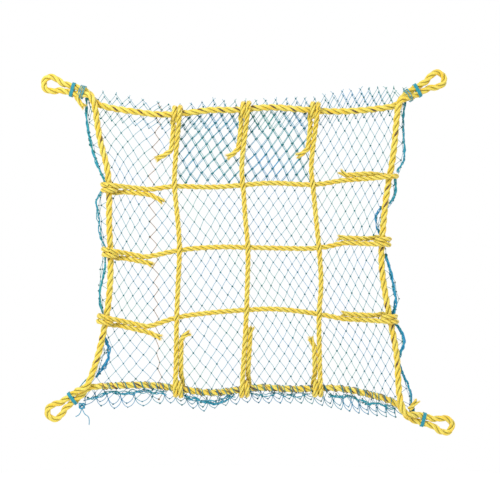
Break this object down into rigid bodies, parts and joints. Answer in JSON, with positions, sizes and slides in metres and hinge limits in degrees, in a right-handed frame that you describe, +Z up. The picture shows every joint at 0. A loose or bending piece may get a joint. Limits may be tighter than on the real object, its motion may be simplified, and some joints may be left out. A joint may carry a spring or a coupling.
{
  "type": "cargo climbing net",
  "caption": "Square yellow rope climbing net with a rope border, corner eyes and a fine knotted teal overlay netting, folding along its rows of cells.",
  "frame": {"origin": "middle of the opening of the top left corner eye, in the net's plane", "axes": "+X along the top border rope towards the top right eye, +Y from the net's front to its back through the eye, +Z up, with the net hanging flat"},
  "size_m": [0.7469, 0.0357, 0.6602],
  "materials": {
    "yellow_rope": "matte",
    "netting_twine": "matte",
    "seam_twine": "matte"
  },
  "bodies": {
    "head": {"top_border_rope": "yellow_rope", "top_left_eye": "yellow_rope", "top_right_eye": "yellow_rope", "top_left_seizing": "netting_twine", "top_right_seizing": "netting_twine", "top_left_rope_stub": "yellow_rope", "left_border_rope_head": "yellow_rope", "right_border_rope_head": "yellow_rope", "left_upright_head": "yellow_rope", "middle_upright_head": "yellow_rope", "right_upright_head": "yellow_rope", "left_netting_head": "netting_twine", "right_netting_head": "netting_twine", "netting_seam_head": "seam_twine", "left_upright_top_splice": "yellow_rope", "middle_upright_top_splice": "yellow_rope", "right_upright_top_splice": "yellow_rope"},
    "upper": {"left_border_rope_upper": "yellow_rope", "right_border_rope_upper": "yellow_rope", "left_upright_upper": "yellow_rope", "middle_upright_upper": "yellow_rope", "right_upright_upper": "yellow_rope", "left_netting_upper": "netting_twine", "right_netting_upper": "netting_twine", "netting_seam_upper": "seam_twine", "upper_cross_rope": "yellow_rope", "upper_cross_rope_left_splice": "yellow_rope", "upper_cross_rope_right_splice": "yellow_rope"},
    "lower": {"left_border_rope_lower": "yellow_rope", "right_border_rope_lower": "yellow_rope", "left_upright_lower": "yellow_rope", "middle_upright_lower": "yellow_rope", "right_upright_lower": "yellow_rope", "left_netting_lower": "netting_twine", "right_netting_lower": "netting_twine", "netting_seam_lower": "seam_twine", "middle_cross_rope": "yellow_rope", "middle_cross_rope_left_splice": "yellow_rope", "middle_cross_rope_right_splice": "yellow_rope"},
    "foot": {"left_border_rope_foot": "yellow_rope", "right_border_rope_foot": "yellow_rope", "left_upright_foot": "yellow_rope", "middle_upright_foot": "yellow_rope", "right_upright_foot": "yellow_rope", "left_netting_foot": "netting_twine", "right_netting_foot": "netting_twine", "netting_seam_foot": "seam_twine", "lower_cross_rope": "yellow_rope", "lower_cross_rope_left_splice": "yellow_rope", "lower_cross_rope_right_splice": "yellow_rope", "bottom_border_rope": "yellow_rope", "bottom_left_seizing": "netting_twine", "bottom_right_seizing": "netting_twine", "bottom_right_rope_stub": "yellow_rope", "left_upright_foot_splice": "yellow_rope", "middle_upright_foot_splice": "yellow_rope", "right_upright_foot_splice": "yellow_rope"},
    "left_corner": {"bottom_left_eye": "yellow_rope"},
    "right_corner": {"bottom_right_eye": "yellow_rope"}
  },
  "joints": [
    {"name": "upper_fold", "type": "hinge", "parent": "head", "child": "upper", "pos_m": [0.35344, 0, -0.14741], "axis": [1, 0, 0], "range_deg": [-75, 75]},
    {"name": "middle_fold", "type": "hinge", "parent": "upper", "child": "lower", "pos_m": [0.35344, 0, -0.24541], "axis": [1, 0, 0], "range_deg": [-75, 75]},
    {"name": "lower_fold", "type": "hinge", "parent": "lower", "child": "foot", "pos_m": [0.35344, 0, -0.36541], "axis": [1, 0, 0], "range_deg": [-75, 75]},
    {"name": "left_eye_flex", "type": "hinge", "parent": "foot", "child": "left_corner", "pos_m": [0.02971, 0, -0.5731], "axis": [0.6018, 0, -0.7986], "range_deg": [-60, 60]},
    {"name": "right_eye_flex", "type": "hinge", "parent": "foot", "child": "right_corner", "pos_m": [0.68188, 0, -0.60732], "axis": [0.2588, 0, 0.9659], "range_deg": [-60, 60]}
  ]
}
